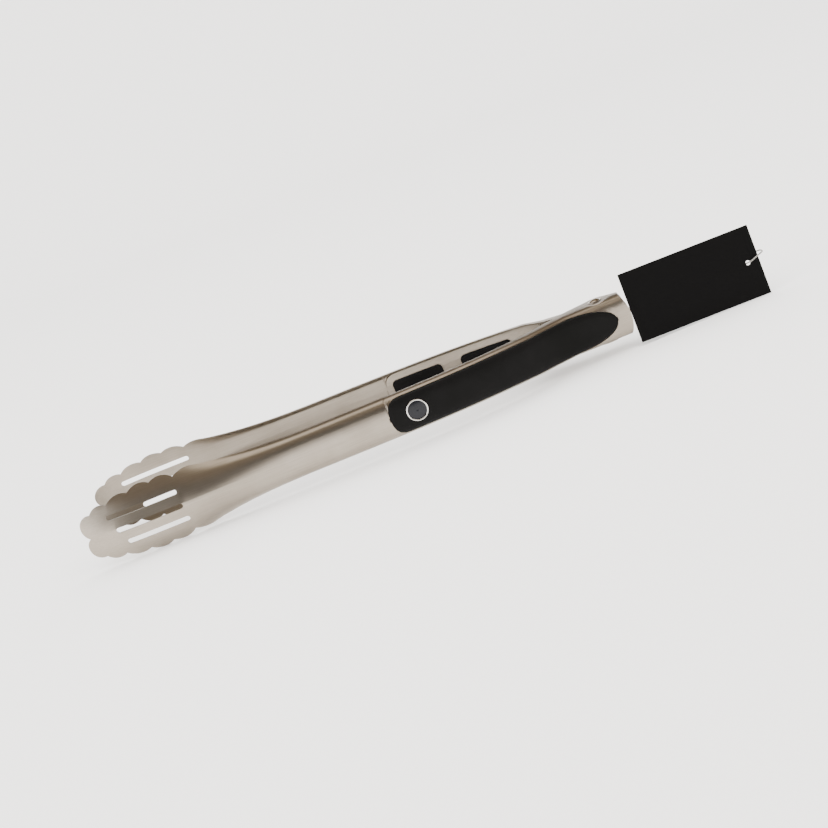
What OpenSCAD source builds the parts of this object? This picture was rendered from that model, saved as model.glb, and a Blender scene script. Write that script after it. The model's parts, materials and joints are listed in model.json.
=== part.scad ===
// Spring loaded kitchen tongs with scalloped slotted heads, soft grips, a pull lock and a hang tag.
// X runs along the tongs, with the heads at -X and the pull ring at +X.
// Y is the direction the arms open in, and Z is the pivot's axis.
// The tongs lie on one side: Z = 0 is the surface under them.

/* [Overall] */
// Distance from the pivot to the tip of a head
arm_len = 343; // [280:1:400]
// Length of the arm behind the pivot
tail_len = 17.6; // [15:0.1:22]
// Height of an arm at the handle
arm_h = 26.2; // [22:0.1:31]
// Depth of the arm's channel at the handle
arm_depth = 8; // [6.6:0.1:10]
// Thickness of the stamped sheet
sheet_t = 1; // [0.8:0.05:1.2]
// How far each arm's edge bows out from the middle plane
bow = 28.5; // [23:0.1:34]

/* [Head] */
// Height of a head across its widest scallops
head_h = 43; // [38:0.1:52]
// Depth of the head's scoop
head_depth = 9.5; // [8:0.1:12]
// Height of one side scallop above its notches
scallop_rise = 2.4; // [1.5:0.1:3]
// How far a head's tip curls in towards the other head
tip_curl = 3.3; // [2:0.1:4]
// Length of the scalloped stretch of a head
scallop_run = 66; // [60:0.5:72]
// Width of the long slots in a head
slot_w = 3.2; // [2.5:0.1:4]
// Height between the long slots
slot_pitch = 9.1; // [8:0.1:10.5]
// Length of the middle long slot
slot_len = 44; // [34:0.5:46]

/* [Grip] */
// Length of the soft grip
grip_len = 150; // [125:1:180]
// Height of the soft grip
grip_h = 22.4; // [18.5:0.1:23]
// How far the grip ends behind the pivot
grip_back = 8.6; // [6:0.1:9.5]
// Depth of the pressed recess that the grip sits in
recess = 1.6; // [1.2:0.1:2]
// How far the grip stands proud of the steel
grip_proud = 1; // [0.5:0.1:1.5]
// Diameter of the round badge
badge_d = 13.6; // [11:0.1:16.4]
// Depth of the pocket that holds the badge
badge_seat = 1.4; // [1.2:0.1:1.6]
// Distance from the pivot to the badge
badge_at = 124; // [100:1:135]

/* [Pivot] */
// Diameter of the hinge rivet
pin_d = 5; // [4:0.1:6]
// Radius of the outer ears around the hinge rivet
ear_r = 8.4; // [7:0.1:9.4]
// Radius of the inner ears around the hinge rivet
inner_ear_r = 6.2; // [5.2:0.1:6.6]
// Radial running clearance on the hinge rivet
run_gap = 0.05; // [0.02:0.01:0.1]
// Diameter of the torsion spring's wire
spring_wire = 1.2; // [1:0.05:1.5]

/* [Lock] */
// How far the pull ring slides to lock the tongs shut
lock_travel = 8; // [6:0.5:9.6]
// Thickness of the lock blade
blade_t = 1.5; // [1:0.1:2]
// Inner diameter of the pull ring
ring_hole_d = 18; // [15:0.1:21.6]
// Outer diameter of the pull ring
ring_d = 25; // [24:0.1:30]
// Thickness of the pull ring
ring_t = 2; // [1.6:0.1:2.4]

/* [Hang tag] */
// Length of the card
tag_len = 84.5; // [70:0.5:102]
// Height of the card
tag_h = 44; // [38:1:44]
// Thickness of the card
tag_t = 0.8; // [0.6:0.1:1]
// Diameter of the hole for the string
tag_hole_d = 3; // [2.4:0.1:3.6]
// Diameter of the string
string_d = 0.9; // [0.8:0.1:1.1]

/* [Hidden] */
$fn = 64;

// Half sizes and levels, measured from the tongs' middle plane
half_h = arm_h / 2;
half_head = head_h / 2;
ear_gap = 0.2;
ear_in = 0.03;
inner_half_h = half_h - sheet_t - ear_gap;
nest_start = 33;
nest_end = 46;
apex_at = 26;
bow_run = 37;
drift = 0.006;
ear_lap = 3;
edge_gap = 0.5;

// Where the neck widens and the head's features lie along the arm, from the pivot
neck_start = arm_len - 153;
shoulder_at = arm_len - 74;
cut_start = shoulder_at - 7;
notch_first = arm_len - scallop_run;
tip_notch = arm_len - 4;
scoop_mid = arm_len - 38;
curl_from = arm_len - 43;
curl_len = 40;
scoop_len = 44;
tip_over = 6;
neck_drop = 1.7;
trim_over = 2.2;

// Notches between the scallops: where they lie as a share of the scalloped stretch,
// and how far they drop below the widest scallop as a share of the half height
notch_at = [0, 0.264, 0.521, 0.786, 1];
notch_drop = [0.065, -0.019, 0.019, 0.135, 0.242];
last_notch = tip_notch - 5;
notches = [for (k = [0:4])
    [lerp(notch_first, last_notch, notch_at[k]),
     half_head * (1 - notch_drop[k]) - scallop_rise]];
shoulder_top = [cut_start, shell_curve(cut_start)];
upper_outline = concat([shoulder_top], notches, [[tip_notch, 0]]);
tip_rise = 6.5;
shoulder_rise = 1.6;

// Recess outline
recess_front = grip_len - grip_back;
recess_round = 9;
nose_len = 30;
recess_half = grip_h / 2;
seat_gap = 0.3;
stud_rise = 1;
stud_at = [120, 73.5];
stud_len = 34;
stud_h = 12;
stud_r = 3;

// Stations along the arm
end_steps = [0, 0.3, 1.2, 3, 6, recess_round];
nose_steps = [0, 0.6, 2.2, 5, 9, 14, 21, nose_len];
handle_stations = [for (k = [1:8]) lerp(nose_len - grip_back, recess_front - recess_round, k / 9)];
neck_stations = [for (k = [1:11]) lerp(recess_front + 1, shoulder_at, k / 12)];
head_stations = [for (k = [0:20]) lerp(shoulder_at, arm_len + tip_over, 1 - pow(1 - k / 20, 1.35))];
arm_stations = concat([-tail_len - 4, -tail_len + 4, -grip_back - 0.5],
    [for (s = nose_steps) s - grip_back], handle_stations,
    [for (k = [5:-1:0]) recess_front - end_steps[k]],
    [recess_front + 0.5], neck_stations, head_stations);
grip_stations = concat([for (s = nose_steps) s - grip_back], handle_stations,
    [for (k = [5:-1:0]) recess_front - end_steps[k]]);

// Pivot pieces
pin_r = pin_d / 2;
bore_r = pin_r + run_gap;
sleeve_r = pin_r + 0.9;
sleeve_half = inner_half_h - sheet_t - 0.1;
washer_t = 0.4;
washer_r = pin_r + 1.7;
head_r = pin_r + 0.9;
head_rise = 1;
stack_half = half_h + 0.05;

// Lock pieces
catch_at = 36;
catch_wire_d = 1.6;
// The tips meet first when the arms close
meet_z = 0.39 * half_head;
meet_gap = 0.25;
close_angle = atan((inner_edge(arm_len, meet_z) - meet_gap) / arm_len);
catch_swing = catch_at * sin(close_angle);
finger_t = 1.15;
catch_gap = 0.15;
catch_shut = 8.4;
finger_in = catch_shut + catch_wire_d / 2 + catch_gap;
finger_out = finger_in + finger_t;
blade_slot_r = sleeve_r + 0.15;
blade_half = blade_slot_r + 3.8;
blade_neck = 5;
blade_tail = 7;
bar_back = catch_at + lock_travel + 2;
bar_w = 3;
finger_len = 5;
ring_x = tail_len + 3 + ring_d / 2;
ring_seat = 3.2;

// Hang tag placement
tag_yaw = 4;
tag_lean = 10;
tag_turn = 1.5;
tag_corner = [tail_len + 0.3, -9, 2.5];
tag_hole_in = 7.2;
string_r = string_d / 2;
string_sides = 8;

// The whole model is moved so that its footprint is centred and its lowest scallop touches Z = 0
pivot_x = (arm_len - ring_x - ring_d / 2) / 2;
mid_z = half_head + 0.03;

// String route measured from the pivot's middle: from the knot behind the card, around its far edge,
// back through its hole, past the knot, through the pull ring and into the knot again
knot_at = [49, 0.5, 1];
knot_r = 1.8;
string_route = [[49.5, 1, 2], [54, 1, 2.5], [64.5, 0, 3.5], [75.5, -1, 4.5], [87.5, -1.5, 5.5],
    [96.5, -1.5, 5], [101.5, -0.5, 4.5], [105, -0.5, 4.5], [106, -4, 4], [103, -6, 3.5], [99.5, -5.5, 2],
    [97, -5.5, 1], [95, -4, 0.5], [93, -2.5, 0], [90, -2, 0], [79.5, -2, 0], [69.5, -1.5, 0], [60, -1, 0],
    [53, -0.5, 0.5], [48.5, -1, 1], [45, -2.3, 1], [42.5, -2.3, 1], [41.2, -1, 1], [41.2, 1, 1],
    [42.5, 2.3, 1], [45, 2.3, 1], [48.5, 1, 0.5]];

function lerp(a, b, t) = a + (b - a) * t;
function clamp01(t) = min(1, max(0, t));
function smooth(a, b, v) = let (t = clamp01((v - a) / (b - a))) t * t * (3 - 2 * t);

// Distance of the arm's open edge from the middle plane, at u from the pivot
function arm_edge(u) = u < apex_at ? edge_gap * smooth(apex_at, apex_at - 10, u)
    : bow * (1 - exp(-(u - apex_at) / bow_run)) + drift * (u - apex_at)
        - tip_curl * pow(max(0, u - curl_from) / curl_len, 2);

// Depth of the channel or scoop
function scoop(u) = head_depth * sqrt(max(0.01, 1 - pow(max(0, u - scoop_mid) / scoop_len, 2)));
function pivot_depth(u) = arm_depth + 3 + 0.05 * min(u, apex_at);
function arm_deep(u) = u > scoop_mid ? scoop(u)
    : u > neck_start ? lerp(arm_depth, head_depth, smooth(neck_start, shoulder_at + 10, u))
    : lerp(pivot_depth(u), arm_depth, smooth(apex_at - 10, 78, u));

// Distance of the head's inner face from the middle plane, at height z
function inner_edge(u, z) = arm_edge(u)
    + (scoop(u) - sheet_t) * (1 - pow(z / (half_head + trim_over - sheet_t), 2));

// Half height of the sheet before its head is trimmed to the scallops
function neck_share(u) = clamp01((u - neck_start) / (shoulder_at - neck_start));
function shell_curve(u) = half_h + (half_head - neck_drop - half_h) * pow(neck_share(u), 2.2);
function shell_half(u, half0) = u <= cut_start
    ? shell_curve(u) - (half_h - half0) * (1 - smooth(nest_start, nest_end, u))
    : lerp(shell_curve(cut_start), half_head + trim_over, smooth(cut_start - 4, cut_start + 24, u));

// Cross-section exponent: squarer at the pivot, a shallow dish in the head
function squareness(u, head) = u < 80 ? lerp(5, 3.2, smooth(apex_at, 70, u))
    : lerp(3.2, head, smooth(neck_start, shoulder_at, u));
function dish(u, z, half, deep) = let (away = min(1, abs(z) / half))
    deep * pow(max(0, 1 - pow(away, squareness(u, 2))), 1 / squareness(u, 1));

// Half height of the grip recess at u, zero outside it
function round_end(t, e) = pow(max(0, 1 - pow(clamp01(t), e)), 1 / e);
function recess_at(u) = let (a = u - (recess_front - recess_round), b = nose_len - grip_back - u)
    recess_half * (a > 0 ? round_end(a / recess_round, 2.5) : b > 0 ? round_end(b / nose_len, 2.2) : 1);
function in_recess(u) = u > -grip_back - 0.01 && u < recess_front + 0.01;

// Distance of the arm's outer surface from the middle plane, before the recess is pressed in
function crest(u, z) = arm_edge(u) + dish(u, z, shell_curve(u), arm_deep(u));

// One half cross-section of the pressed sheet as [height, depth], from the open edge to the crest
edge_cuts = [0, 0.18, 0.36, 0.55, 0.75, 1];
floor_cuts = [0.75, 0.4];
function half_section(u, half, deep) = let (r = max(1, recess_at(u)), drop = in_recess(u) ? recess : 0,
        top = min(r + 0.4, half * 0.96))
    concat([for (t = edge_cuts) let (z = half - (half - top) * t * t) [z, dish(u, z, half, deep)]],
        [for (t = concat([1], floor_cuts)) let (z = (top - 0.5) * t) [z, dish(u, z, half, deep) - drop]]);
function section(u, half, deep) = let (s = half_section(u, half, deep), n = len(s))
    concat(s, [[0, dish(u, 0, half, deep) - (in_recess(u) ? recess : 0)]],
        [for (k = [n - 1:-1:0]) [-s[k][0], s[k][1]]]);

// Points of one skin of the sheet, lying inside the outer surface by inset
function skin(stations, half0, inset) = [for (u = stations)
    let (half = shell_half(u, half0) - inset, deep = arm_deep(u) - inset)
    [for (p = section(u, half, deep)) [-u, arm_edge(u) + p[1], p[0]]]];

// Closed sheet between two grids of points with the same size
module sheet_between(outer, inner) {
    rows = len(outer);
    cols = len(outer[0]);
    size = rows * cols;
    points = concat([for (r = outer) each r], [for (r = inner) each r]);
    grid = [for (i = [0:rows - 2]) for (j = [0:cols - 2])
        let (a = i * cols + j, b = a + 1, c = a + cols + 1, d = a + cols)
        each [[a, c, b], [a, d, c], [size + a, size + b, size + c], [size + a, size + c, size + d]]];
    ends = [for (j = [0:cols - 2]) let (a = j, b = (rows - 1) * cols + j)
        each [[a, size + a + 1, size + a], [a, a + 1, size + a + 1],
              [b, size + b + 1, b + 1], [b, size + b, size + b + 1]]];
    sides = [for (i = [0:rows - 2]) let (a = i * cols, b = a + cols, c = a + cols - 1, d = c + cols)
        each [[a, size + b, b], [a, size + a, size + b], [c, size + d, size + c], [c, d, size + d]]];
    polyhedron(points, concat(grid, ends, sides), convexity = 10);
}

// A shape drawn in X and Z, pushed through the arm along Y
module through_arm(depth = 60) {
    translate([0, depth, 0]) rotate([90, 0, 0]) linear_extrude(depth) children();
}

module slot_shape(from, to, z, w) {
    translate([-to + w / 2, z - w / 2]) square([to - from - w, w]);
    for (u = [from + w / 2, to - w / 2]) translate([-u, z]) circle(w / 2);
}

module round_rect(mid, len, high, r) {
    translate([-mid - len / 2 + r, -high / 2]) square([len - 2 * r, high]);
    translate([-mid - len / 2, -high / 2 + r]) square([len, high - 2 * r]);
    for (x = [-1, 1], z = [-1, 1]) translate([-mid + x * (len / 2 - r), z * (high / 2 - r)]) circle(r);
}

// Disc whose edge passes through two points and rises above the line between them
module scallop(a, b, rise, side) {
    d = b - a;
    chord = norm(d);
    r = (chord * chord / 4 + rise * rise) / (2 * rise);
    out = [-d[1], d[0]] / chord;
    c = (a + b) / 2 + out * (rise - r);
    translate([-c[0], side * c[1]]) circle(r, $fn = 96);
}

module scalloped_outline() {
    n = len(upper_outline);
    polygon(concat([for (p = upper_outline) [-p[0], p[1]]],
        [for (k = [n - 2:-1:0]) -upper_outline[k]]));
    for (side = [1, -1], k = [0:n - 2])
        scallop(upper_outline[k], upper_outline[k + 1],
            k == n - 2 ? tip_rise : k == 0 ? shoulder_rise : scallop_rise, side);
}

// Flat ear around the hinge rivet, from the arm's flange over the middle plane
module ear_shape(r) {
    side = 0.97 * r;
    front = asin(r / apex_at);
    back = asin(r / (tail_len - 1));
    polygon([[-apex_at, ear_lap], [-apex_at, 0], [-side * sin(front), -side * cos(front)], [0, -r * 0.9],
        [side * sin(back), -side * cos(back)], [tail_len - 1, 0], [tail_len - 1, ear_lap]]);
    circle(r);
}

// One arm with its hollow side towards the middle plane and its back towards +Y
module arm(half0, ear) {
    difference() {
        union() {
            sheet_between(skin(arm_stations, half0, 0), skin(arm_stations, half0, sheet_t));
            for (s = [1, -1]) translate([0, 0, s * (half0 - ear_in - sheet_t / 2) - sheet_t / 2])
                linear_extrude(sheet_t) ear_shape(ear);
        }
        cylinder(h = arm_h + 4, r = bore_r, center = true);
        tail_trim();
        head_trim();
        through_arm() for (k = [-1:1]) let (near = notch_first + 0.5 * k)
            slot_shape(near, near + slot_len + 3 * k, slot_pitch * k, slot_w);
        through_arm() for (u = stud_at) round_rect(u, stud_len, stud_h, stud_r);
    }
}

module tail_trim() {
    difference() {
        translate([0, -15, -half_h - 2]) cube([tail_len + 10, 60, arm_h + 4]);
        translate([tail_len - 27, 50, 0]) rotate([90, 0, 0]) cylinder(h = 70, r = 27, $fn = 128);
    }
}

module head_trim() {
    difference() {
        translate([-arm_len - 10, -1, -half_head - 6]) cube([arm_len + 10 - cut_start, 62, head_h + 12]);
        translate([0, -2, 0]) through_arm(64) scalloped_outline();
    }
}

// Soft grip that fills the recess, with two studs through the steel
module grip() {
    outer = [for (u = grip_stations) grip_row(u, 0)];
    inner = [for (u = grip_stations) grip_row(u, -recess - grip_proud + 0.05)];
    difference() {
        union() {
            sheet_between(outer, inner);
            for (u = stud_at) intersection() {
                stud_band(u);
                through_arm() round_rect(u, stud_len - 0.4, stud_h - 0.4, stud_r - 0.2);
            }
        }
        at_badge() translate([0, 0, -badge_seat]) cylinder(h = 10, r = badge_d / 2 + 0.05);
    }
}

// One row of grip points across the recess, with the outer row's edges rounded off
function grip_row(u, inset) = let (r = max(0.6, recess_at(u) - seat_gap))
    [for (k = [-8:8]) let (z = r * sin(90 * k / 8), rounding = inset == 0 ? 0.8 * pow(abs(k) / 8, 6) : 0)
        [-u, crest(u, z) + grip_proud + inset - rounding, -z]];

// Thin curved band from just inside the steel's inner face into the grip
module stud_band(mid) {
    rows = [for (k = [-3:3]) mid + k * stud_len / 6];
    levels = [0.6 - recess, -recess - sheet_t - stud_rise];
    grids = [for (level = levels) [for (u = rows) [for (z = [-7:2:7]) [-u, crest(u, z) + level, -z]]]];
    sheet_between(grids[0], grids[1]);
}

// Places its children on the grip's surface at the badge, with +Z pointing out of the arm
module at_badge() {
    slope = atan2(arm_edge(badge_at + 5) - arm_edge(badge_at - 5), 10);
    translate([-badge_at, crest(badge_at, 0) + grip_proud, 0]) rotate([-90, 0, -slope]) children();
}

module badge_ring() {
    at_badge() translate([0, 0, -badge_seat]) rotate_extrude() {
        translate([badge_d / 2 - 1, 0]) square([1, badge_seat]);
        translate([badge_d / 2 - 0.5, badge_seat]) circle(0.5, $fn = 32);
    }
}

module badge_disc() {
    r = badge_d / 2 - 1.05;
    dome = 34;
    at_badge() difference() {
        translate([0, 0, 0.2 - dome]) sphere(dome, $fn = 180);
        difference() {
            translate([0, 0, -dome]) cube(3 * dome, center = true);
            translate([0, 0, -badge_seat]) cylinder(h = 10, r = r);
        }
    }
}

// Upright wire across the arm's channel that the lock blade hooks
module catch_wire(half) {
    translate([-catch_at, catch_shut + catch_swing, 0])
        cylinder(h = 2 * half - sheet_t, d = catch_wire_d, center = true, $fn = 32);
}

module on_pivot() {
    translate([pivot_x, 0, mid_z]) children();
}
module back_side() {
    on_pivot() children();
}
module front_side() {
    on_pivot() mirror([0, 1, 0]) children();
}

module arm_front() { color("#a59a90") front_side() arm(half_h, ear_r); }
module arm_back() { color("#a59a90") back_side() arm(inner_half_h, inner_ear_r); }
module grip_front() { color("#1c1b19") front_side() grip(); }
module grip_back_arm() { color("#1c1b19") back_side() grip(); }
module badge_ring_front() { color("#d8d6d2") front_side() badge_ring(); }
module badge_ring_back() { color("#d8d6d2") back_side() badge_ring(); }
module badge_disc_front() { color("#15161f") front_side() badge_disc(); }
module badge_disc_back() { color("#15161f") back_side() badge_disc(); }
module catch_wire_front() { color("#b4aca2") front_side() catch_wire(half_h); }
module catch_wire_back() { color("#b4aca2") back_side() catch_wire(inner_half_h); }

// Hinge rivet with a low domed head at both ends
module hinge_rivet() {
    shaft_half = stack_half + washer_t + 0.05;
    dome = (head_r * head_r + head_rise * head_rise) / (2 * head_rise);
    color("#8f877e") on_pivot() {
        cylinder(h = 2 * shaft_half + 0.1, r = pin_r, center = true);
        for (s = [1, -1]) scale([1, 1, s]) intersection() {
            translate([0, 0, shaft_half + head_rise - dome]) sphere(dome, $fn = 96);
            translate([0, 0, shaft_half]) cylinder(h = 5, r = head_r);
        }
    }
}

module rivet_washer(s) {
    color("#a8a098") on_pivot() translate([0, 0, s * (stack_half + washer_t / 2)]) difference() {
        cylinder(h = washer_t, r = washer_r, center = true);
        cylinder(h = washer_t + 1, r = bore_r, center = true);
    }
}
module rivet_washer_top() { rivet_washer(1); }
module rivet_washer_bottom() { rivet_washer(-1); }

module spacer_sleeve() {
    color("#c9c5bd") on_pivot() difference() {
        cylinder(h = 2 * sleeve_half, r = sleeve_r, center = true);
        cylinder(h = 2 * sleeve_half + 1, r = bore_r, center = true);
    }
}

// Torsion spring: close-wound turns above the lock blade and two legs against the arms
module torsion_spring() {
    turns = 4;
    pitch = spring_wire * 0.94;
    coil_r = sleeve_r + 0.3 + spring_wire / 2;
    low = blade_t / 2 + 0.6 + spring_wire / 2;
    reach = 20;
    leg_end = arm_edge(reach) + arm_deep(reach) - sheet_t - recess - spring_wire;
    leg = norm([reach, leg_end - coil_r]);
    color("#b9b4ac") on_pivot() {
        for (k = [0:turns - 1]) translate([0, 0, low + k * pitch])
            rotate_extrude() translate([coil_r, 0]) circle(spring_wire / 2, $fn = 16);
        for (s = [1, -1]) translate([0, s * coil_r, low + (s > 0 ? turns - 1 : 0) * pitch])
            rotate([0, 0, -s * atan2(leg_end - coil_r, reach)]) rotate([0, -90, 0])
                cylinder(h = leg, r = spring_wire / 2, $fn = 16);
    }
}

// Lock blade: slides on the spacer sleeve and hooks both catch wires when it is pulled out
module lock_blade() {
    tail_end = ring_x - ring_d / 2 + ring_seat;
    color("#b0a89e") on_pivot() difference() {
        translate([0, 0, -blade_t / 2]) linear_extrude(blade_t) {
            translate([-lock_travel - blade_half, -blade_half])
                square([lock_travel + 2 * blade_half, 2 * blade_half]);
            translate([-bar_back - bar_w, -blade_neck]) square([bar_back + bar_w, 2 * blade_neck]);
            translate([-bar_back - bar_w, -finger_out]) square([bar_w, 2 * finger_out]);
            for (y = [finger_in, -finger_out]) translate([-bar_back - 1, y])
                square([finger_len + 1, finger_t]);
            translate([0, -blade_tail / 2]) square([tail_end, blade_tail]);
        }
        translate([0, 0, -blade_t]) linear_extrude(2 * blade_t) {
            circle(blade_slot_r);
            translate([-lock_travel, 0]) circle(blade_slot_r);
            translate([-lock_travel, -blade_slot_r]) square([lock_travel, 2 * blade_slot_r]);
        }
        translate([ring_x - ring_d / 2 - 0.1, -ring_t / 2 - 0.05, -5]) cube([ring_d, ring_t + 0.1, 10]);
    }
}

// Flat upright pull ring, held in the slot at the blade's end
module pull_ring() {
    color("#c4beb5") on_pivot() translate([ring_x, 0, 0]) rotate([90, 0, 0]) difference() {
        cylinder(h = ring_t, r = ring_d / 2, center = true, $fn = 96);
        cylinder(h = ring_t + 1, r = ring_hole_d / 2, center = true, $fn = 96);
    }
}

module tag_card() {
    color("#101010") on_pivot() translate(tag_corner)
        rotate([-tag_lean, 0, tag_yaw]) rotate([0, tag_turn, 0]) difference() {
            translate([0, -tag_t / 2, -tag_h / 2]) cube([tag_len, tag_t, tag_h]);
            translate([tag_len - tag_hole_in, 0, 0]) rotate([90, 0, 0])
                cylinder(h = 4, d = tag_hole_d, center = true, $fn = 32);
        }
}

// Directions for sweeping the string
function unit(v) = v / norm(v);
function along(p, k) = unit(p[min(len(p) - 1, k + 1)] - p[max(0, k - 1)]);
function bezier(a, b, c, t) = (1 - t) * (1 - t) * a + 2 * t * (1 - t) * b + t * t * c;

// Rounds the route: each inner point becomes a short curve between the middles of its two stretches
function rounded(p, steps) = concat([p[0]],
    [for (k = [1:len(p) - 2]) for (s = [0:steps - 1])
        bezier((p[k - 1] + p[k]) / 2, p[k], (p[k] + p[k + 1]) / 2, s / steps)],
    [p[len(p) - 1]]);

module string_tube() {
    path = rounded(string_route, 3);
    side = [for (k = [0:len(path) - 1]) unit(cross(along(path, k), [0, 0, 1]))];
    rings = [for (k = [0:len(path) - 1]) let (up = unit(cross(side[k], along(path, k))))
        for (j = [0:string_sides - 1]) let (a = 360 * j / string_sides)
            path[k] + string_r * (cos(a) * side[k] + sin(a) * up)];
    last = len(path) - 1;
    walls = [for (k = [0:last - 1]) for (j = [0:string_sides - 1])
        let (a = k * string_sides + j, b = k * string_sides + (j + 1) % string_sides)
        each [[a, b + string_sides, a + string_sides], [a, b, b + string_sides]]];
    caps = [[for (j = [string_sides - 1:-1:0]) j],
        [for (j = [0:string_sides - 1]) last * string_sides + j]];
    polyhedron(rings, concat(walls, caps), convexity = 10);
}

module tag_string() {
    color("#8c8a86") on_pivot() {
        string_tube();
        translate(knot_at) sphere(knot_r, $fn = 24);
    }
}

hinge_rivet();
rivet_washer_top();
rivet_washer_bottom();
spacer_sleeve();
torsion_spring();
arm_front();
grip_front();
badge_ring_front();
badge_disc_front();
catch_wire_front();
arm_back();
grip_back_arm();
badge_ring_back();
badge_disc_back();
catch_wire_back();
lock_blade();
pull_ring();
tag_card();
tag_string();
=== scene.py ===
"""Spring loaded kitchen tongs with slotted scoop heads, soft grips, a pull lock and a hang tag.

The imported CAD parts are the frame. This script dresses them, models the pieces that need a finer
shape than the CAD solids have, and sets up the studio.
"""

import json
import logging
import math
from dataclasses import dataclass, field
from enum import Enum
from typing import Optional, Sequence

import bmesh
import bpy
from mathutils import Matrix, Vector

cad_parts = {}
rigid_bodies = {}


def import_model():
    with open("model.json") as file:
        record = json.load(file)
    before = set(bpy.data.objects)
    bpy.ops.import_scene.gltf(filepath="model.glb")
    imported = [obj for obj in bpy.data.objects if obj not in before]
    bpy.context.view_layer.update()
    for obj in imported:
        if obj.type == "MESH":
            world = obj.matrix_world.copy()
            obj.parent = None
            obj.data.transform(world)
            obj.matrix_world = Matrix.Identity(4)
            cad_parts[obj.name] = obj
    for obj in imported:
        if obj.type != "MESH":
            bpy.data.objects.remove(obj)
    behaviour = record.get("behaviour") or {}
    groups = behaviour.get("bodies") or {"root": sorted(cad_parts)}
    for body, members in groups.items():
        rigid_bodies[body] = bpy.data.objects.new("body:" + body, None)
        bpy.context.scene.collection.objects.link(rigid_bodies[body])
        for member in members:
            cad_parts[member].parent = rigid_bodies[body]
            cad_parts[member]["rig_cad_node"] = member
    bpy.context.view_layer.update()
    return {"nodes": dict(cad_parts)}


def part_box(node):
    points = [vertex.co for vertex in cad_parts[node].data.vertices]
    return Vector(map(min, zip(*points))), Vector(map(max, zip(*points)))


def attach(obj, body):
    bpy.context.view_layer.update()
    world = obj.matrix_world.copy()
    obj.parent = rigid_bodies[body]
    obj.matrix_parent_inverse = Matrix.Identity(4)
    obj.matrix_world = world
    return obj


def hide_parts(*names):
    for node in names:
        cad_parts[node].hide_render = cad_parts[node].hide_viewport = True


LOG = logging.getLogger("tongs")
MM = 0.001


class Side(Enum):
    """The two arms of the tongs, and which way their backs point along Y."""

    FRONT = -1
    BACK = 1


def hex_to_linear(code: str) -> tuple[float, float, float, float]:
    """Turns an sRGB hex colour into linear RGBA.

    Args:
        code: Six hex digits after a hash sign.

    Returns:
        The linear red, green and blue with an alpha of 1.
    """
    parts = [int(code[i : i + 2], 16) / 255 for i in (1, 3, 5)]
    linear = [c / 12.92 if c <= 0.04045 else ((c + 0.055) / 1.055) ** 2.4 for c in parts]
    return (linear[0], linear[1], linear[2], 1.0)


def add_node(
    tree: bpy.types.NodeTree,
    kind: str,
    settings: Optional[dict] = None,
    values: Optional[dict] = None,
    links: Optional[dict] = None,
) -> bpy.types.Node:
    """Adds one node with its settings, socket values and links.

    Args:
        tree: The tree that the node goes in.
        kind: The node's type name.
        settings: Attributes of the node.
        values: Input socket values, by name or index.
        links: Output sockets to link from, by this node's input name or index.

    Returns:
        The new node.
    """
    node = tree.nodes.new(kind)
    for key, value in (settings or {}).items():
        setattr(node, key, value)
    for key, value in (values or {}).items():
        node.inputs[key].default_value = value
    for key, source in (links or {}).items():
        tree.links.new(source, node.inputs[key])
    return node


def set_stops(node: bpy.types.Node, stops: Sequence[tuple[float, str]]) -> None:
    """Gives a colour ramp node its places and hex colours."""
    elements = node.color_ramp.elements
    while len(elements) < len(stops):
        elements.new(0.5)
    for element, (place, code) in zip(elements, stops):
        element.position = place
        element.color = hex_to_linear(code)


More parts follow.
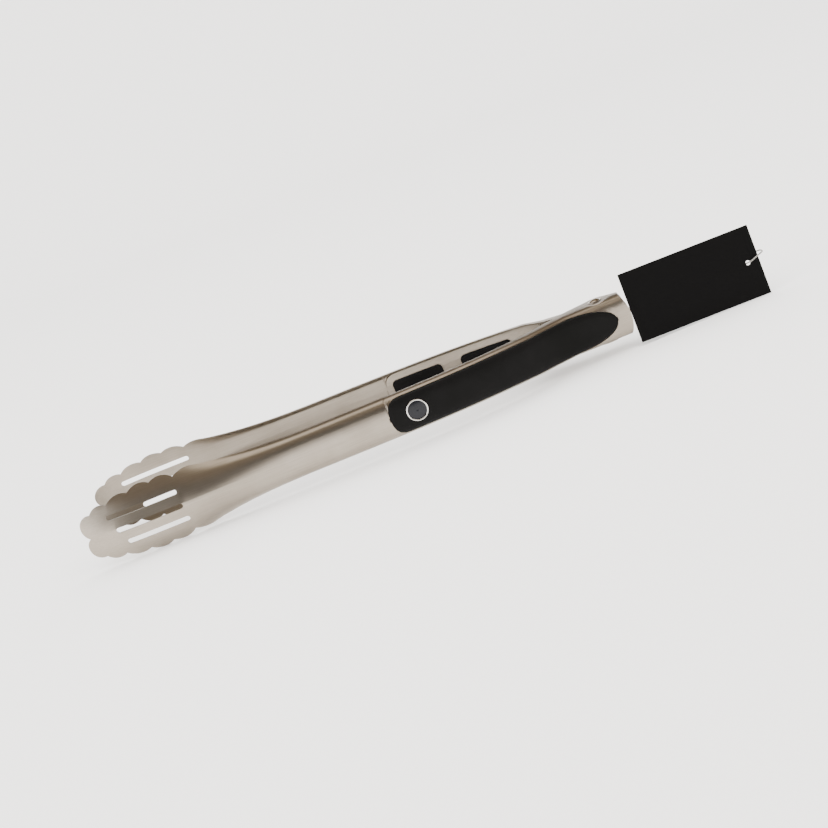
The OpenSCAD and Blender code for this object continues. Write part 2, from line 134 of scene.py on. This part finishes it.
class NodeSheet:
    """A material's node tree, with a Principled shader wired to its output."""

    def __init__(self, name: str) -> None:
        """Makes the material of that name."""
        self.material = bpy.data.materials.new(name)
        self.material.use_nodes = True
        self.tree = self.material.node_tree
        self.tree.nodes.clear()
        self.shader = self.add("ShaderNodeBsdfPrincipled")
        self.add("ShaderNodeOutputMaterial", links={"Surface": self.shader.outputs["BSDF"]})
        self.place = self.add("ShaderNodeTexCoord").outputs["Object"]

    def add(
        self,
        kind: str,
        settings: Optional[dict] = None,
        values: Optional[dict] = None,
        links: Optional[dict] = None,
    ) -> bpy.types.Node:
        """Adds one node to this material, as add_node does."""
        return add_node(self.tree, kind, settings, values, links)

    def noise(
        self,
        scale: float,
        detail: float,
        roughness: float = 0.5,
        at: Optional[bpy.types.NodeSocket] = None,
    ) -> bpy.types.NodeSocket:
        """Adds a noise pattern and returns its value.

        Args:
            scale: Turns of the pattern in a metre.
            detail: How many finer layers it has.
            roughness: How strong the finer layers are.
            at: Where it is read, or None for the piece's own coordinates.

        Returns:
            The pattern's value socket.
        """
        values = {"Scale": scale, "Detail": detail, "Roughness": roughness}
        links = {"Vector": at or self.place}
        return self.add("ShaderNodeTexNoise", values=values, links=links).outputs["Fac"]

    def mapped(
        self,
        scale: tuple[float, float, float] = (1.0, 1.0, 1.0),
        turn: tuple[float, float, float] = (0.0, 0.0, 0.0),
    ) -> bpy.types.NodeSocket:
        """Stretches and turns the piece's own coordinates and returns them."""
        values = {"Scale": scale, "Rotation": turn}
        return self.add("ShaderNodeMapping", values=values, links={"Vector": self.place}).outputs["Vector"]

    def ramp(
        self, source: bpy.types.NodeSocket, stops: Sequence[tuple[float, str]]
    ) -> bpy.types.NodeSocket:
        """Adds a colour ramp over hex colours and returns its colour output."""
        node = self.add("ShaderNodeValToRGB", links={"Fac": source})
        set_stops(node, stops)
        return node.outputs["Color"]

    def span(
        self,
        source: bpy.types.NodeSocket,
        low: float,
        high: float,
        start: float = 0.0,
        end: float = 1.0,
    ) -> bpy.types.NodeSocket:
        """Maps a value from [start, end] to [low, high] and returns the result socket."""
        values = {"From Min": start, "From Max": end, "To Min": low, "To Max": high}
        return self.add("ShaderNodeMapRange", values=values, links={"Value": source}).outputs["Result"]

    def set_shader(self, **values: object) -> None:
        """Sets uniform values on the shader's own sockets, with underscores for spaces."""
        for key, value in values.items():
            self.shader.inputs[key.replace("_", " ")].default_value = value

    def link_shader(self, **sources: bpy.types.NodeSocket) -> None:
        """Links sockets to the shader's inputs, with underscores for spaces."""
        for key, source in sources.items():
            self.tree.links.new(source, self.shader.inputs[key.replace("_", " ")])

    def bump(
        self,
        height: bpy.types.NodeSocket,
        distance_mm: float,
        strength: float = 1.0,
        below: Optional[bpy.types.NodeSocket] = None,
    ) -> bpy.types.NodeSocket:
        """Adds a bump of that depth, on top of another where one is given, and returns its normal."""
        links = {"Height": height} if below is None else {"Height": height, "Normal": below}
        values = {"Strength": strength, "Distance": distance_mm * MM}
        return self.add("ShaderNodeBump", values=values, links=links).outputs["Normal"]


@dataclass(frozen=True)
class BrushedStainless:
    """304 stainless sheet, stamped and then brushed along its length.

    The brushing leaves fine lines that stretch highlights across the arm, over a faint warm tint,
    and pressing leaves slow swells that make the reflections wander.
    """

    name: str = "brushed_304_stainless"
    tint: str = "#a1988c"
    dark_tint: str = "#82796d"
    # Drawn coarser than real brushing, which is finer than the render can show
    line_mm: float = 0.7
    line_stretch: float = 60.0
    smudge_mm: float = 35.7
    swell_mm: float = 55.6
    roughness: tuple[float, float] = (0.27, 0.4)

    def build(self) -> bpy.types.Material:
        """Builds the material."""
        sheet = NodeSheet(self.name)
        per_metre = 1 / (self.line_mm * MM)
        lines_at = sheet.mapped(scale=(per_metre / self.line_stretch, per_metre, per_metre))
        lines = sheet.noise(1.0, 3.0, 0.6, lines_at)
        smudge = sheet.noise(1 / (self.smudge_mm * MM), 4.0, 0.55)
        swell = sheet.noise(1 / (self.swell_mm * MM), 1.0)
        blend = sheet.add(
            "ShaderNodeMath",
            {"operation": "MULTIPLY_ADD"},
            {1: 0.35},
            {0: lines, 2: sheet.span(smudge, 0.1, 0.75)},
        ).outputs["Value"]
        smoothest, roughest = self.roughness
        sheet.set_shader(Metallic=1.0, Anisotropic=0.35)
        sheet.link_shader(
            Base_Color=sheet.ramp(blend, ((0.25, self.dark_tint), (0.75, self.tint))),
            Roughness=sheet.span(blend, roughest, smoothest, 0.25, 0.8),
            Normal=sheet.bump(lines, 0.006, 0.5, sheet.bump(swell, 0.6, 0.25)),
        )
        return sheet.material


@dataclass(frozen=True)
class DrawnSteel:
    """Cold drawn steel of rivets, wire and small plates: brighter where it is turned or rubbed."""

    name: str
    tint: str
    dark_tint: str
    roughness: tuple[float, float] = (0.16, 0.3)
    grain_mm: float = 0.5
    patch_mm: float = 6.25

    def build(self) -> bpy.types.Material:
        """Builds the material."""
        sheet = NodeSheet(self.name)
        grain = sheet.noise(1 / (self.grain_mm * MM), 3.0)
        patch = sheet.noise(1 / (self.patch_mm * MM), 2.0)
        smoothest, roughest = self.roughness
        sheet.set_shader(Metallic=1.0)
        sheet.link_shader(
            Base_Color=sheet.ramp(patch, ((0.35, self.dark_tint), (0.65, self.tint))),
            Roughness=sheet.span(patch, roughest, smoothest, 0.3, 0.7),
            Normal=sheet.bump(grain, 0.008, 0.5),
        )
        return sheet.material


@dataclass(frozen=True)
class MouldedRubber:
    """Thermoplastic elastomer moulded against a spark eroded tool: matte, with a fine pebble."""

    name: str = "moulded_elastomer_black"
    tint: str = "#070706"
    worn: str = "#0b0a0a"
    pebble_mm: float = 0.55
    fine_mm: float = 0.385
    handling_mm: float = 22.2

    def build(self) -> bpy.types.Material:
        """Builds the material."""
        sheet = NodeSheet(self.name)
        pebble = sheet.add(
            "ShaderNodeTexVoronoi",
            {"feature": "SMOOTH_F1"},
            {"Scale": 1 / (self.pebble_mm * MM), "Smoothness": 0.6},
            {"Vector": sheet.place},
        ).outputs["Distance"]
        fine = sheet.noise(1 / (self.fine_mm * MM), 3.0)
        handling = sheet.noise(1 / (self.handling_mm * MM), 4.0)
        sheet.set_shader(Sheen_Weight=0.03, Sheen_Roughness=0.5, Specular_IOR_Level=0.08)
        sheet.link_shader(
            Base_Color=sheet.ramp(handling, ((0.35, self.tint), (0.75, self.worn))),
            Roughness=sheet.span(handling, 0.62, 0.5, 0.3, 0.7),
            Normal=sheet.bump(fine, 0.02, 0.35, sheet.bump(pebble, 0.06, 0.5)),
        )
        return sheet.material


@dataclass(frozen=True)
class PolishedChrome:
    """Chrome plate on the badge bezel: mirror bright with the odd hairline from handling."""

    name: str = "polished_chrome_plate"
    tint: str = "#dcdad6"
    hairline_mm: float = 0.12

    def build(self) -> bpy.types.Material:
        """Builds the material."""
        sheet = NodeSheet(self.name)
        stretched = sheet.mapped(scale=(0.2, 1.0, 1.0), turn=(0.0, 0.6, 0.0))
        scratch = sheet.noise(1 / (self.hairline_mm * MM), 2.0, at=stretched)
        sheet.set_shader(Metallic=1.0, Base_Color=hex_to_linear(self.tint))
        sheet.link_shader(
            Roughness=sheet.span(scratch, 0.05, 0.2, 0.45, 0.8),
            Normal=sheet.bump(scratch, 0.002, 0.4),
        )
        return sheet.material


@dataclass(frozen=True)
class LacqueredBadge:
    """Doming lacquer over a plain navy insert: a deep colour under a clear gloss, with a fine fleck."""

    name: str = "lacquered_navy_badge"
    navy: str = "#05060c"
    fleck_navy: str = "#080a14"
    fleck_mm: float = 0.3

    def build(self) -> bpy.types.Material:
        """Builds the material."""
        sheet = NodeSheet(self.name)
        fleck = sheet.noise(1 / (self.fleck_mm * MM), 2.0)
        sheet.set_shader(Coat_Weight=0.15, Coat_Roughness=0.06, Specular_IOR_Level=0.25)
        sheet.link_shader(
            Base_Color=sheet.ramp(fleck, ((0.3, self.navy), (0.8, self.fleck_navy))),
            Roughness=sheet.span(fleck, 0.22, 0.34),
            Normal=sheet.bump(fleck, 0.004, 0.3),
        )
        return sheet.material


@dataclass(frozen=True)
class CoatedCard:
    """Solid board printed black all over under an aqueous coat.

    The coat leaves a low sheen, and the fibre of the board shows faintly through it.
    """

    name: str = "coated_black_board"
    black: str = "#060606"
    fibre_black: str = "#0e0d0d"
    fibre_mm: float = 0.4

    def build(self) -> bpy.types.Material:
        """Builds the material."""
        sheet = NodeSheet(self.name)
        fibre = sheet.noise(1 / (self.fibre_mm * MM), 4.0, 0.65)
        sheet.set_shader(Specular_IOR_Level=0.06)
        sheet.link_shader(
            Base_Color=sheet.ramp(fibre, ((0.3, self.black), (0.8, self.fibre_black))),
            Roughness=sheet.span(fibre, 0.45, 0.6),
            Normal=sheet.bump(fibre, 0.01, 0.3),
        )
        return sheet.material


@dataclass(frozen=True)
class TwistedString:
    """Two ply grey cotton string: the plies show as slanted turns, with painted shade darkening the grooves
    between them, and some fuzz.
    """

    name: str = "two_ply_cotton_string"
    light: str = "#8f8c86"
    # Painted shade: the darker grey laid into the grooves between the plies
    ply_groove_shade: str = "#5d5a55"
    twist_mm: float = 1.1
    fuzz_mm: float = 0.167
    # A wave pattern repeats after this much of its own coordinate
    wave_period: float = 0.31

    def build(self) -> bpy.types.Material:
        """Builds the material."""
        sheet = NodeSheet(self.name)
        twist = sheet.add(
            "ShaderNodeTexWave",
            {"wave_type": "BANDS"},
            {"Scale": self.wave_period / (self.twist_mm * MM), "Distortion": 1.5, "Detail": 1.0},
            {"Vector": sheet.mapped(turn=(0.5, 0.0, 0.7))},
        ).outputs["Fac"]
        fuzz = sheet.noise(1 / (self.fuzz_mm * MM), 2.0)
        sheet.set_shader(Sheen_Weight=0.3, Specular_IOR_Level=0.2)
        sheet.link_shader(
            # The twist bands paint the grooves between the plies darker as painted shade, and the crests get
            # the string's lighter grey
            Base_Color=sheet.ramp(twist, ((0.2, self.ply_groove_shade), (0.8, self.light))),
            Roughness=sheet.span(fuzz, 0.75, 0.95),
            Normal=sheet.bump(twist, 0.12, 0.8),
        )
        return sheet.material


@dataclass(frozen=True)
class PaleFloor:
    """Matt white paper sweep: almost no grain, and no gloss."""

    name: str = "matt_white_paper"
    tint: str = "#f6f5f3"
    fibre_tint: str = "#f9f8f7"
    grain_mm: float = 2.5

    def build(self) -> bpy.types.Material:
        """Builds the material."""
        sheet = NodeSheet(self.name)
        grain = sheet.noise(1 / (self.grain_mm * MM), 2.0)
        sheet.set_shader(Specular_IOR_Level=0.1)
        sheet.link_shader(
            Base_Color=sheet.ramp(grain, ((0.0, self.tint), (1.0, self.fibre_tint))),
            Roughness=sheet.span(grain, 0.85, 0.95),
        )
        return sheet.material


def deselect_all() -> None:
    """Deselects everything, so that the next operator touches only what it is given."""
    bpy.ops.object.select_all(action="DESELECT")


def make_active(piece: bpy.types.Object) -> None:
    """Selects one object alone and makes it the active one."""
    deselect_all()
    piece.select_set(True)
    bpy.context.view_layer.objects.active = piece


def dress(piece: bpy.types.Object, material: bpy.types.Material) -> None:
    """Puts one material on an object, in place of whatever it had."""
    if piece.type == "MESH" and "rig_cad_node" not in piece:
        piece.data.materials.clear()
        piece.data.materials.append(material)
        return
    if not piece.material_slots:
        piece.data.materials.append(material)
    for holder in piece.material_slots:
        holder.link = "OBJECT"
        holder.material = material


def apply_modifiers(piece: bpy.types.Object) -> None:
    """Applies every modifier of a piece in order."""
    make_active(piece)
    for modifier in list(piece.modifiers):
        bpy.ops.object.modifier_apply(modifier=modifier.name)


def settle(piece: bpy.types.Object) -> None:
    """Moves a piece's place, turn and size into its mesh, so that its object sits at the origin."""
    make_active(piece)
    bpy.ops.object.transform_apply(location=True, rotation=True, scale=True)


def merged_copy(node: bpy.types.Object, name: str, merge_mm: float = 0.001) -> bpy.types.Object:
    """Copies a CAD node into a free piece whose loose triangles are joined.

    Args:
        node: The CAD node.
        name: The new piece's name.
        merge_mm: How close two corners have to be to become one.

    Returns:
        The new piece, at the origin.
    """
    piece = bpy.data.objects.new(name, node.data.copy())
    bpy.context.scene.collection.objects.link(piece)
    make_active(piece)
    bpy.ops.object.mode_set(mode="EDIT")
    bpy.ops.mesh.select_all(action="SELECT")
    bpy.ops.mesh.remove_doubles(threshold=merge_mm * MM)
    bpy.ops.mesh.customdata_custom_splitnormals_clear()
    bpy.ops.object.mode_set(mode="OBJECT")
    return piece


def smooth(piece: bpy.types.Object, degrees: float) -> None:
    """Shades a piece smooth except over edges sharper than the angle."""
    make_active(piece)
    bpy.ops.object.shade_smooth_by_angle(angle=math.radians(degrees))


@dataclass
class Studio:
    """Camera, white sweep and soft lights."""

    target: tuple[float, float, float] = (0.0165, 0.0429, 0.0)
    azimuth: float = -3.9
    elevation: float = 14.14
    roll: float = -22.79
    distance: float = 1.0883
    lens: float = 72.89
    sensor_width: float = 36.0
    view_depth: float = 50.0
    floor_size: float = 6.0
    floor_reach: float = 2.2
    sweep_height: float = 0.7
    sweep_radius: float = 0.6
    sweep_segments: int = 24
    sweep_crease: float = 40.0
    light_aim: tuple[float, float, float] = (0.0, 0.0, 0.02)
    soft_white: tuple[float, float, float, float] = (1.0, 0.99, 0.98, 1.0)
    soft_strength: float = 3.0
    mirrored_room: tuple[tuple[float, str], ...] = (
        (0.0, "#4a3d30"),
        (0.1, "#2a2119"),
        (0.38, "#3a2e20"),
        (0.62, "#735c3c"),
        (0.85, "#8d7650"),
        (1.0, "#9c8862"),
    )
    lights: list[tuple[str, tuple[float, float, float], float, float, str]] = field(
        default_factory=lambda: [
            ("key_softbox", (-0.4, 0.2, 1.9), 1.6, 14.0, "#fff8f0"),
            ("fill_softbox", (0.9, -0.9, 1.1), 1.0, 6.0, "#fff4e8"),
            ("head_softbox", (-1.5, -0.6, 0.3), 1.5, 22.0, "#ffffff"),
        ]
    )

    def build_camera(self) -> None:
        """Places the camera on its aim line and rolls it about that line."""
        azimuth, elevation, roll = (math.radians(a) for a in (self.azimuth, self.elevation, self.roll))
        level = math.cos(elevation)
        aim = Vector((math.sin(azimuth) * level, math.cos(azimuth) * level, -math.sin(elevation)))
        right = aim.cross(Vector((0, 0, 1))).normalized()
        up = right.cross(aim)
        rolled_right = right * math.cos(roll) + up * math.sin(roll)
        rolled_up = up * math.cos(roll) - right * math.sin(roll)
        turn = Matrix((rolled_right, rolled_up, -aim)).transposed().to_4x4()
        bpy.ops.object.camera_add()
        camera = bpy.context.object
        camera.name = "studio_camera"
        camera.matrix_world = Matrix.Translation(Vector(self.target) - aim * self.distance) @ turn
        camera.data.sensor_width = self.sensor_width
        camera.data.lens = self.lens
        camera.data.clip_end = self.view_depth
        bpy.context.scene.camera = camera

    def build_sweep(self) -> None:
        """Models the paper sweep: a floor that curves up into a wall behind the tongs."""
        deselect_all()
        middle = self.floor_reach - self.floor_size / 2
        bpy.ops.mesh.primitive_plane_add(size=self.floor_size, location=(0, middle, 0))
        sweep = bpy.context.object
        sweep.name = "paper_sweep"
        settle(sweep)
        bpy.ops.object.mode_set(mode="EDIT")
        bpy.ops.mesh.select_all(action="DESELECT")
        shape = bmesh.from_edit_mesh(sweep.data)
        for edge in shape.edges:
            edge.select_set(all(abs(v.co.y - self.floor_reach) < 0.001 for v in edge.verts))
        shape.select_flush(True)
        bmesh.update_edit_mesh(sweep.data)
        bpy.ops.mesh.extrude_region_move(TRANSFORM_OT_translate={"value": (0, 0, self.sweep_height)})
        bpy.ops.object.mode_set(mode="OBJECT")
        corner = sweep.modifiers.new("sweep_curve", "BEVEL")
        corner.width = self.sweep_radius
        corner.segments = self.sweep_segments
        apply_modifiers(sweep)
        smooth(sweep, self.sweep_crease)
        dress(sweep, PaleFloor().build())

    def build_lights(self) -> None:
        """Hangs the softboxes, each aimed at the tongs."""
        for name, place, size, power, tint in self.lights:
            bpy.ops.object.light_add(type="AREA", location=place)
            light = bpy.context.object
            light.name = name
            light.data.size = size
            light.data.energy = power
            light.data.color = hex_to_linear(tint)[:3]
            aim = Vector(self.light_aim) - Vector(place)
            light.rotation_euler = aim.to_track_quat("-Z", "Y").to_euler()

    def build_room(self) -> None:
        """Builds the room that the steel mirrors: white light for matt things, warm walls for gloss."""
        world = bpy.data.worlds.new("warm_room")
        bpy.context.scene.world = world
        world.use_nodes = True
        tree = world.node_tree
        tree.nodes.clear()
        place = add_node(tree, "ShaderNodeTexCoord").outputs["Generated"]
        height = add_node(tree, "ShaderNodeSeparateXYZ", links={"Vector": place}).outputs["Z"]
        ramp = add_node(tree, "ShaderNodeValToRGB", links={"Fac": height})
        set_stops(ramp, self.mirrored_room)
        room = add_node(tree, "ShaderNodeBackground", links={"Color": ramp.outputs["Color"]})
        soft = {"Color": self.soft_white, "Strength": self.soft_strength}
        light = add_node(tree, "ShaderNodeBackground", values=soft)
        glossy = add_node(tree, "ShaderNodeLightPath").outputs["Is Glossy Ray"]
        mix = add_node(
            tree, "ShaderNodeMixShader", links={"Fac": glossy, 1: light.outputs[0], 2: room.outputs[0]}
        )
        add_node(tree, "ShaderNodeOutputWorld", links={"Surface": mix.outputs[0]})

    def build(self) -> None:
        """Builds the whole studio."""
        self.build_camera()
        self.build_sweep()
        self.build_lights()
        self.build_room()
        LOG.info("studio: camera, sweep and %d softboxes", len(self.lights))


@dataclass
class HangTag:
    """Black card on a loop of string through the pull ring."""

    pivot: Vector
    nodes: dict[str, bpy.types.Object]
    string_diameter: float = 0.0009
    string_length: float = 0.1357
    knot_at: tuple[float, float, float] = (0.049, 0.0005, 0.001)
    knot_radius: float = 0.0011
    knot_segments: int = 24
    strand_sides: int = 8
    knot_crease: float = 60.0
    string_resolution: int = 3
    knot_tilts: tuple[tuple[float, float, float], ...] = ((0.3, 1.2, 0.0), (1.3, 0.4, 0.5), (0.9, -0.9, 1.1))
    # From the pivot: out of the knot, round the card and through its hole, then round the ring
    route: tuple[tuple[float, float, float], ...] = (
        (0.0495, 0.001, 0.002), (0.054, 0.001, 0.0025), (0.0645, 0.0, 0.0035),
        (0.0755, -0.001, 0.0045), (0.0875, -0.0015, 0.0055), (0.0965, -0.0015, 0.005),
        (0.1015, -0.0005, 0.0045), (0.105, -0.0005, 0.0045), (0.106, -0.004, 0.004),
        (0.103, -0.006, 0.0035), (0.0995, -0.0055, 0.002), (0.097, -0.0055, 0.001),
        (0.095, -0.004, 0.0005), (0.093, -0.0025, 0.0), (0.09, -0.002, 0.0),
        (0.0795, -0.002, 0.0), (0.0695, -0.0015, 0.0), (0.06, -0.001, 0.0),
        (0.053, -0.0005, 0.0005), (0.0485, -0.001, 0.001), (0.045, -0.0023, 0.001),
        (0.0425, -0.0023, 0.001), (0.0412, -0.001, 0.001), (0.0412, 0.001, 0.001),
        (0.0425, 0.0023, 0.001), (0.045, 0.0023, 0.001), (0.0485, 0.001, 0.0005),
    )

    def rounded_route(self, steps: int = 3) -> list[Vector]:
        """Rounds the route with short curves between the middles of its stretches.

        Args:
            steps: Points on each short curve.

        Returns:
            The points of the string's centreline in the row frame.
        """
        marks = [self.pivot + Vector(p) for p in self.route]
        line = [marks[0]]
        for before, mark, after in zip(marks, marks[1:], marks[2:]):
            start, end = (before + mark) / 2, (mark + after) / 2
            for step in range(steps):
                t = step / steps
                line.append(start * (1 - t) ** 2 + mark * 2 * t * (1 - t) + end * t * t)
        line.append(marks[-1])
        return line

    def build_string(self) -> None:
        """Makes the string as one open curve and its knot as wound turns."""
        line = self.rounded_route()
        curve = bpy.data.curves.new("hang_string", "CURVE")
        curve.dimensions = "3D"
        curve.bevel_depth = self.string_diameter / 2
        curve.bevel_resolution = self.string_resolution
        curve.use_fill_caps = True
        spline = curve.splines.new("POLY")
        spline.points.add(len(line) - 1)
        for point, place in zip(spline.points, line):
            point.co = (*place, 1.0)
        string = bpy.data.objects.new("hang_string", curve)
        bpy.context.scene.collection.objects.link(string)
        finish = TwistedString().build()
        string.data.materials.append(finish)
        knot = self.build_knot()
        dress(knot, finish)
        for piece in (string, knot):
            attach(piece, "tag")
        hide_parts("tag_string")
        LOG.info("hang string: %.1f mm", self.string_length / MM)

    def build_knot(self) -> bpy.types.Object:
        """Winds three crossing turns of string into one knot piece.

        Returns:
            The knot.
        """
        deselect_all()
        turns = []
        for tilt in self.knot_tilts:
            bpy.ops.mesh.primitive_torus_add(
                major_radius=self.knot_radius,
                minor_radius=self.string_diameter / 2,
                major_segments=self.knot_segments,
                minor_segments=self.strand_sides,
                location=self.pivot + Vector(self.knot_at),
                rotation=tilt,
            )
            turns.append(bpy.context.object)
        deselect_all()
        for turn in turns:
            turn.select_set(True)
        bpy.context.view_layer.objects.active = turns[0]
        bpy.ops.object.join()
        knot = bpy.context.object
        knot.name = "string_knot"
        settle(knot)
        smooth(knot, self.knot_crease)
        return knot

    def build_card(self) -> None:
        """Dresses the card."""
        dress(self.nodes["tag_card"], CoatedCard().build())

    def build(self) -> None:
        """Builds the string and the card."""
        self.build_string()
        self.build_card()
        LOG.info("hang tag: card and string")


@dataclass
class Arm:
    """One stamped arm with its grip, badge and catch wire."""

    side: Side
    nodes: dict[str, bpy.types.Object]
    steel: bpy.types.Material
    rubber: bpy.types.Material
    chrome: bpy.types.Material
    lacquer: bpy.types.Material
    wire_steel: bpy.types.Material
    shell_crease: float = 32.0
    grip_crease: float = 40.0

    def node_names(self) -> dict[str, str]:
        """The CAD nodes and the body of this arm, by what they are."""
        end = self.side.name.lower()
        return {
            "shell": f"arm_{end}",
            "grip": "grip_front" if self.side is Side.FRONT else "grip_back_arm",
            "ring": f"badge_ring_{end}",
            "disc": f"badge_disc_{end}",
            "wire": f"catch_wire_{end}",
            "body": f"{end}_arm",
        }

    def build_shell(self) -> None:
        """Makes the pressed sheet smooth between its rounded edges."""
        names = self.node_names()
        shell = merged_copy(self.nodes[names["shell"]], names["shell"] + "_pressed")
        smooth(shell, self.shell_crease)
        dress(shell, self.steel)
        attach(shell, names["body"])
        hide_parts(names["shell"])

    def build_grip(self) -> None:
        """Makes the moulded grip smooth."""
        names = self.node_names()
        grip = merged_copy(self.nodes[names["grip"]], names["grip"] + "_moulded")
        smooth(grip, self.grip_crease)
        dress(grip, self.rubber)
        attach(grip, names["body"])
        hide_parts(names["grip"])

    def build_badge(self) -> None:
        """Dresses the bezel and the lacquered disc."""
        names = self.node_names()
        dress(self.nodes[names["ring"]], self.chrome)
        dress(self.nodes[names["disc"]], self.lacquer)

    def build(self) -> None:
        """Builds the arm and dresses its CAD nodes."""
        self.build_shell()
        self.build_grip()
        self.build_badge()
        dress(self.nodes[self.node_names()["wire"]], self.wire_steel)
        LOG.info("%s arm: shell, grip, badge and catch wire", self.side.name.lower())


@dataclass
class TorsionSpring:
    """Wire spring round the sleeve: the coil stays on the rivet and each leg follows its arm."""

    pivot: Vector
    steel: bpy.types.Material
    wire: float = 0.0012
    turns: float = 2.5
    steps_per_turn: int = 32
    section_sides: int = 12
    crease: float = 50.0
    leg_overlap: float = 0.0006
    end_rounding: float = 0.00024
    rounding_segments: int = 3
    sharp_edge: float = 60.0

    def build_coil(self, coil_radius: float, low: float, high: float) -> None:
        """Winds the coil from the front leg's level up to the back leg's.

        Args:
            coil_radius: Radius of the wire's centreline.
            low: Level of the first turn's centreline.
            high: Level of the last turn's centreline.
        """
        deselect_all()
        bpy.ops.mesh.primitive_circle_add(
            vertices=self.section_sides,
            radius=self.wire / 2,
            location=(0, -coil_radius, 0),
            rotation=(0, math.pi / 2, 0),
        )
        coil = bpy.context.object
        coil.name = "spring_coil"
        settle(coil)
        winding = coil.modifiers.new("winding", "SCREW")
        winding.angle = math.tau * self.turns
        winding.screw_offset = high - low
        winding.steps = winding.render_steps = int(self.steps_per_turn * self.turns)
        apply_modifiers(coil)
        bpy.ops.object.mode_set(mode="EDIT")
        bpy.ops.mesh.select_all(action="SELECT")
        bpy.ops.mesh.fill_holes(sides=0)
        bpy.ops.mesh.select_all(action="SELECT")
        bpy.ops.mesh.normals_make_consistent(inside=False)
        bpy.ops.object.mode_set(mode="OBJECT")
        coil.location = (self.pivot.x, self.pivot.y, low)
        settle(coil)
        smooth(coil, self.crease)
        dress(coil, self.steel)
        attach(coil, "pivot")
        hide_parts("torsion_spring")

    def build_leg(self, side: Side, start: Vector, tip: Vector) -> None:
        """Makes one straight leg with a rounded end, set a little way into the coil.

        Args:
            side: The arm that the leg presses on.
            start: Where the wire leaves the coil.
            tip: The leg's far end.
        """
        run = (tip - start).normalized()
        inner = start - run * self.leg_overlap
        deselect_all()
        bpy.ops.mesh.primitive_cylinder_add(
            vertices=self.section_sides,
            radius=self.wire / 2,
            depth=(tip - inner).length,
            location=(tip + inner) / 2,
            rotation=run.to_track_quat("Z", "Y").to_euler(),
        )
        leg = bpy.context.object
        leg.name = f"spring_leg_{side.name.lower()}"
        settle(leg)
        rounding = leg.modifiers.new("rounded_ends", "BEVEL")
        rounding.width = self.end_rounding
        rounding.segments = self.rounding_segments
        rounding.angle_limit = math.radians(self.sharp_edge)
        apply_modifiers(leg)
        smooth(leg, self.crease)
        dress(leg, self.steel)
        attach(leg, f"{side.name.lower()}_arm")

    def build(self) -> None:
        """Builds the coil and both legs inside the space of the CAD spring."""
        lowest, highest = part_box("torsion_spring")
        half = self.wire / 2
        coil_radius = highest.x - half - self.pivot.x
        low, high = lowest.z + half, highest.z - half
        self.build_coil(coil_radius, low, high)
        for side, level in ((Side.FRONT, low), (Side.BACK, high)):
            start = Vector((self.pivot.x, self.pivot.y + side.value * coil_radius, level))
            tip = Vector((lowest.x + half, side.value * (highest.y - half), level))
            self.build_leg(side, start, tip)
        LOG.info("torsion spring: coil and two legs")


@dataclass
class PivotAndLock:
    """Hinge rivet, washers, sleeve, lock blade and pull ring."""

    nodes: dict[str, bpy.types.Object]
    bright_steel: bpy.types.Material
    plate_steel: bpy.types.Material

    def build(self) -> None:
        """Dresses the pivot's and the lock's pieces."""
        bright = ("hinge_rivet", "rivet_washer_top", "rivet_washer_bottom", "spacer_sleeve", "pull_ring")
        for name in bright:
            dress(self.nodes[name], self.bright_steel)
        dress(self.nodes["lock_blade"], self.plate_steel)
        LOG.info("pivot and lock: rivet, washers, sleeve, blade and ring")


def main() -> None:
    """Builds the studio, then the tag and its string, then the arms, pivot and lock."""
    logging.basicConfig(level=logging.INFO, format="%(name)s: %(message)s")
    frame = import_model()
    nodes = frame["nodes"]
    low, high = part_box("hinge_rivet")
    pivot = (low + high) / 2
    Studio().build()
    HangTag(pivot, nodes).build()
    steel = BrushedStainless().build()
    rubber = MouldedRubber().build()
    chrome = PolishedChrome().build()
    lacquer = LacqueredBadge().build()
    bright = DrawnSteel("turned_bright_steel", "#c9c2b8", "#aaa196").build()
    spring = DrawnSteel("oil_tempered_spring_wire", "#8d867d", "#6f6860", (0.3, 0.42)).build()
    plate = DrawnSteel("blanked_steel_plate", "#b7afa5", "#988f84", (0.24, 0.36)).build()
    for side in Side:
        Arm(side, nodes, steel, rubber, chrome, lacquer, bright).build()
    TorsionSpring(pivot, spring).build()
    PivotAndLock(nodes, bright, plate).build()


if __name__ == "__main__":
    main()
